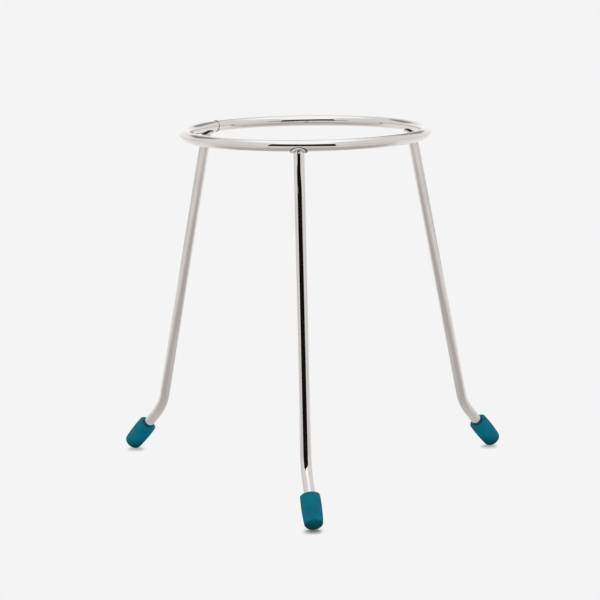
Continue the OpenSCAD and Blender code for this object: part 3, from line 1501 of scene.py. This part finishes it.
@dataclass
class Tent:
    """White tent over the stand, seen only in bright metal, under an even white sky.

    Bearings on it count from -Y to either side and rises from the level of its middle, in degrees.

    Args:
        radius: radius of the tent.
        around: faces round the tent.
        up: faces up it.
        eye: height of its middle, about that of the ring.
        sky: strength of the even light on everything dull.
        view_tone: brightness of the sky in plain view.
        foot_tone: tone of the tent's walls near the floor.
        wall_tone: tone of its walls.
        foot_rise: rises over which the one becomes the other.
        rear_lift: how much brighter the foot of its rear wall is.
        rear_bearing: bearings over which that lift comes in.
        rear_rise: rises over which it goes.
        roof_tone: tone of its roof.
        roof_rise: rises over which the walls become the roof.
        over_bearing: bearings over which the lower edge of the roof in front ends.
        over_rise: rises over which the walls become the roof there.
        wall_tint: colour of its walls.
        roof_tint: colour of its roof.
        flags: flags hung in it.
    """

    radius: float = 1.8
    around: int = 96
    up: int = 48
    eye: float = 0.20
    sky: float = 1.0
    view_tone: float = 0.905
    foot_tone: float = 0.76
    wall_tone: float = 0.97
    foot_rise: tuple[float, float] = (-6.0, 3.0)
    rear_lift: float = 0.12
    rear_bearing: tuple[float, float] = (115.0, 140.0)
    rear_rise: tuple[float, float] = (14.0, 24.0)
    roof_tone: float = 1.44
    roof_rise: tuple[float, float] = (46.0, 70.0)
    over_bearing: tuple[float, float] = (28.0, 42.0)
    over_rise: tuple[float, float] = (33.0, 41.0)
    wall_tint: tuple[float, float, float] = (1.0, 0.985, 0.975)
    roof_tint: tuple[float, float, float] = (0.99, 1.0, 1.0)
    flags: tuple[TentFlag, ...] = (
        TentFlag(bearing=158.0, half_wide=19.0, rise=29.0, half_high=12.0, depth=0.58),
        TentFlag(bearing=-138.0, half_wide=18.0, rise=33.0, half_high=11.0, depth=0.66),
    )

    def build(self) -> None:
        """Pitches the tent under its sky."""
        bm = bmesh.new()
        bmesh.ops.create_uvsphere(bm, u_segments=self.around, v_segments=self.up,
                                  radius=self.radius, matrix=moved(0, 0, self.eye))
        material, sheet, out = StageBench.cloth("studio_tent")
        glow = sheet.add("ShaderNodeEmission")
        tone = self._tone(sheet)
        sheet.join(tone, glow.inputs["Strength"])
        roof = sheet.span(tone, (self.wall_tone, self.roof_tone), 0.0, 1.0)
        sheet.join(sheet.blend(roof, self.wall_tint, self.roof_tint), glow.inputs["Color"])
        sheet.join(glow.outputs[0], out.inputs["Surface"])
        StageBench.set_out(bm, "studio_tent", material, mirrored_only=True)
        self._sky()

    def _tone(self, sheet: NodeSheet) -> bpy.types.NodeSocket:
        """Lays out the tent's tone by bearing and height.

        Args:
            sheet: the tent's sheet.

        Returns:
            The tone.
        """
        x, y, z = sheet.split(sheet.place())
        sine = sheet.maths("DIVIDE", sheet.maths("SUBTRACT", z, self.eye), self.radius)
        rise = sheet.maths("DEGREES", sheet.maths("ARCSINE", sine))
        front = sheet.maths("MULTIPLY", y, -1.0)
        bearing = sheet.maths("DEGREES", sheet.maths("ARCTAN2", x, front))
        aside = sheet.maths("ABSOLUTE", bearing)
        wall = sheet.span(rise, self.foot_rise, self.foot_tone, self.wall_tone)
        behind = sheet.maths("MULTIPLY", sheet.span(aside, self.rear_bearing, 0.0, self.rear_lift),
                             sheet.span(rise, self.rear_rise, 1.0, 0.0))
        wall = sheet.maths("ADD", wall, behind)
        over = sheet.maths("MULTIPLY", sheet.span(aside, self.over_bearing, 1.0, 0.0, eased=True),
                           sheet.span(rise, self.over_rise, 0.0, 1.0, eased=True))
        roof = sheet.span(rise, self.roof_rise, 0.0, 1.0, eased=True)
        lift = sheet.maths("MULTIPLY", sheet.maths("MAXIMUM", over, roof),
                           sheet.maths("SUBTRACT", self.roof_tone, wall))
        tone = sheet.maths("ADD", wall, lift)
        for flag in self.flags:
            tone = sheet.maths("MULTIPLY", tone, flag.light_left(sheet, bearing, rise))
        return tone

    def _sky(self) -> None:
        """Spreads the even sky."""
        world = bpy.data.worlds.new("studio_sky")
        sheet = NodeSheet.of(world)
        lights = []
        for strength in (self.sky, self.view_tone):
            light = sheet.add("ShaderNodeBackground")
            light.inputs["Color"].default_value = (1.0, 1.0, 1.0, 1.0)
            light.inputs["Strength"].default_value = strength
            lights.append(light.outputs[0])
        plain_view = sheet.add("ShaderNodeLightPath").outputs["Is Camera Ray"]
        out = sheet.add("ShaderNodeOutputWorld")
        sheet.join(sheet.either(plain_view, *lights), out.inputs["Surface"])
        bpy.context.scene.world = world


@dataclass
class TentOpening:
    """Dark of the tent's opening, with dark brims in front of it, seen only in bright metal.

    Args:
        toward: azimuth of the camera from -Y towards +X, in degrees.
        swing: how far the opening hangs from there towards +X, in degrees.
        gap: distance of the opening from the ring's axis.
        half_wide: half width of the opening.
        middle: height of its middle.
        half_high: half its height at its middle.
        end_half_high: half its height at its two ends.
        slope: rise of its middle line towards its left end, for each metre along it.
        brims: for each brim its rise away from the ring, in degrees, and where it starts.
        brim_end: distance at which the brims end.
        brim_spread: half of the angle that they spread over, in degrees.
        dark: what is left of the light in them.
    """

    toward: float
    swing: float = -3.2
    gap: float = 0.68
    half_wide: float = 0.380
    middle: float = 0.385
    half_high: float = 0.20
    end_half_high: float = 0.28
    slope: float = 0.23
    brims: tuple[tuple[float, float], ...] = (
        (16.0, 0.32), (12.0, 0.30), (8.0, 0.30), (5.0, 0.42), (2.0, 0.60), (-2.0, 0.65))
    brim_end: float = 1.15
    brim_spread: float = 46.5
    dark: tuple[float, float, float] = (0.008, 0.0075, 0.007)

    def build(self) -> None:
        """Hangs the opening and its brims."""
        material, sheet, out = StageBench.cloth("studio_dark")
        glow = sheet.add("ShaderNodeEmission")
        glow.inputs["Color"].default_value = (*self.dark, 1.0)
        sheet.join(glow.outputs[0], out.inputs["Surface"])
        bm = bmesh.new()
        bmesh.ops.create_grid(bm, x_segments=2, y_segments=1, size=1.0)
        for vert in bm.verts:
            along = vert.co.x * self.half_wide
            high = self.half_high + (self.end_half_high - self.half_high) * abs(vert.co.x)
            vert.co = Vector((along, vert.co.y * high - along * self.slope, 0.0))
        bmesh.ops.transform(bm, matrix=self._side() @ moved(0, -self.gap, self.middle)
                            @ turned(90, "X"), verts=bm.verts)
        StageBench.set_out(bm, "studio_opening", material, mirrored_only=True)
        for rise, start in self.brims:
            self._brim(material, rise, start)

    def _side(self) -> Matrix:
        """Turn about the ring's axis that brings -Y to the middle of the opening."""
        return turned(self.toward + self.swing, "Z")

    def _brim(self, material: bpy.types.Material, rise: float, start: float) -> None:
        """Lays a brim in a plane through the ring's front, so that the ring sees only its edge.

        Args:
            material: the opening's dark.
            rise: the plane's rise away from the ring, in degrees.
            start: distance at which the brim starts.
        """
        bm = bmesh.new()
        bmesh.ops.create_grid(bm, x_segments=1, y_segments=1, size=1.0)
        spread = math.tan(math.radians(self.brim_spread))
        for vert in bm.verts:
            away = self.brim_end if vert.co.y < 0 else start
            vert.co = Vector((vert.co.x * away * spread, -away, 0.0))
        place = self._side() @ moved(0, -STAND.ring_r, STAND.ring_z) @ turned(-rise, "X")
        bmesh.ops.transform(bm, matrix=place, verts=bm.verts)
        StageBench.set_out(bm, f"studio_brim_{rise:g}", material, mirrored_only=True)


@dataclass(frozen=True)
class StudioCamera:
    """Long lens a little above the ring, seen from slightly right of the front leg.

    Args:
        place: where the camera stands, in metres.
        yaw: turn from +Y towards +X, in degrees.
        dip: how far it looks down, in degrees.
        roll: turn about its line of sight, in degrees.
        lens: focal length in millimetres.
        sensor: width of the sensor in millimetres.
        clip: nearest and furthest distance that it sees, in metres.
    """

    place: tuple[float, float, float] = (0.077907, -1.424790, 0.358168)
    yaw: float = -3.319
    dip: float = 9.982
    roll: float = -0.840
    lens: float = 144.0
    sensor: float = 36.0
    clip: tuple[float, float] = (0.05, 200.0)

    @property
    def toward(self) -> float:
        """Azimuth of the camera from -Y towards +X, in degrees."""
        return math.degrees(math.atan2(self.place[0], -self.place[1]))

    def build(self) -> None:
        """Makes the camera and gives it to the scene."""
        yaw, dip, roll = (math.radians(a) for a in (self.yaw, self.dip, self.roll))
        ahead = Vector((math.sin(yaw) * math.cos(dip), math.cos(yaw) * math.cos(dip),
                        -math.sin(dip)))
        level = Vector((math.cos(yaw), -math.sin(yaw), 0.0))
        up = level.cross(ahead)
        right = math.cos(roll) * level + math.sin(roll) * up
        top = -math.sin(roll) * level + math.cos(roll) * up
        data = bpy.data.cameras.new("studio_camera")
        data.lens, data.sensor_width = self.lens, self.sensor
        data.clip_start, data.clip_end = self.clip
        camera = bpy.data.objects.new("studio_camera", data)
        basis = Matrix((right, top, -ahead)).transposed().to_4x4()
        camera.matrix_world = Matrix.Translation(self.place) @ basis
        bpy.context.scene.collection.objects.link(camera)
        bpy.context.scene.camera = camera
        LOG.info("camera ready")


STAND = StandSizes.from_frame()
CAP = CapSizes()


def main() -> None:
    """Builds the studio and every piece of the stand, in order."""
    logging.basicConfig(level=logging.INFO, format="%(message)s")
    scene = bpy.context.scene
    scene.view_settings.view_transform = "Standard"
    camera = StudioCamera()
    camera.build()
    PaperFloor(tuple(stand.rest(STAND, CAP) for stand in LEG_SETS)).build()
    Tent().build()
    TentOpening(camera.toward).build()
    LOG.info("studio ready")
    Ring(STAND).build()
    RingJoint(STAND).build()
    for stand in LEG_SETS:
        Leg(STAND, CAP, stand).build()
        LegWeld(STAND, stand).build()
        FootCap(STAND, CAP, stand).build()


if __name__ == "__main__":
    main()
